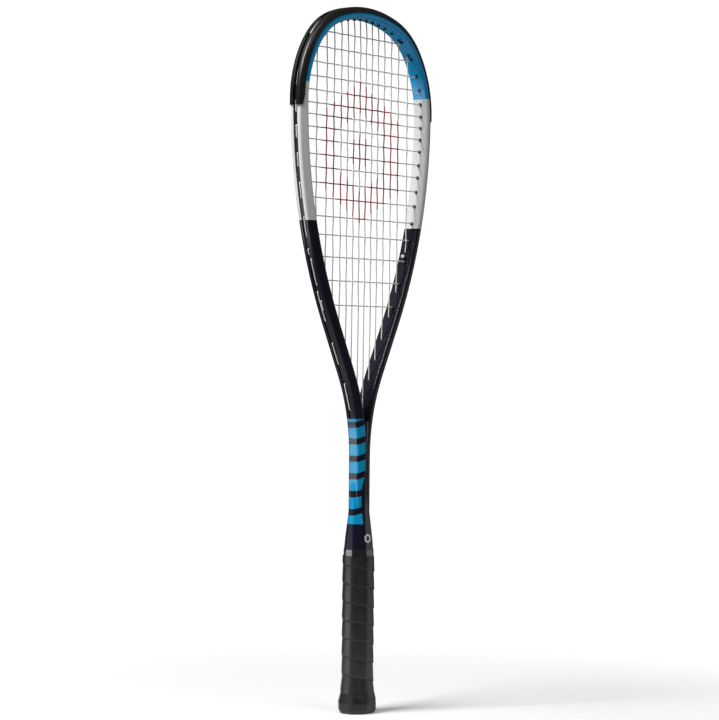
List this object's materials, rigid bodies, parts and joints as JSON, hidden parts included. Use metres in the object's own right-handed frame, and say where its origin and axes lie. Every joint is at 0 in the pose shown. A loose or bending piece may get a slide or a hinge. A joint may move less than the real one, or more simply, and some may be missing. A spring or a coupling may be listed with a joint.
{
  "type": "squash racket",
  "caption": "Teardrop-head squash racket: hollow hairpin frame, crown bumper, grommet strips, main and cross strings, wrapped octagonal handle and butt cap.",
  "frame": {"origin": "middle of the butt's end face", "axes": "+Z along the shaft from the butt to the crown, +X across the head, Y square to the strings with the front at -Y"},
  "size_m": [0.2122, 0.0344, 0.686],
  "materials": {
    "frame_paint": "clear-coated paint on graphite, blue and white at the crown, navy below",
    "guard_nylon": "moulded black nylon",
    "string": "white synthetic string",
    "foam": "moulded foam",
    "cap_plastic": "moulded black plastic",
    "tack_steel": "plain steel",
    "grip_tape": "tacky black cushioned tape",
    "band_tape": "black finishing tape"
  },
  "bodies": {
    "root": {"frame": "frame_paint", "bumper_guard": "guard_nylon", "left_grommet_strip": "guard_nylon", "right_grommet_strip": "guard_nylon", "main_string": "string", "cross_string": "string", "handle_foam": "foam", "butt_cap": "cap_plastic", "cap_tacks": "tack_steel", "grip_tack": "tack_steel", "grip_wrap": "grip_tape", "finishing_tape": "band_tape"}
  },
  "joints": []
}
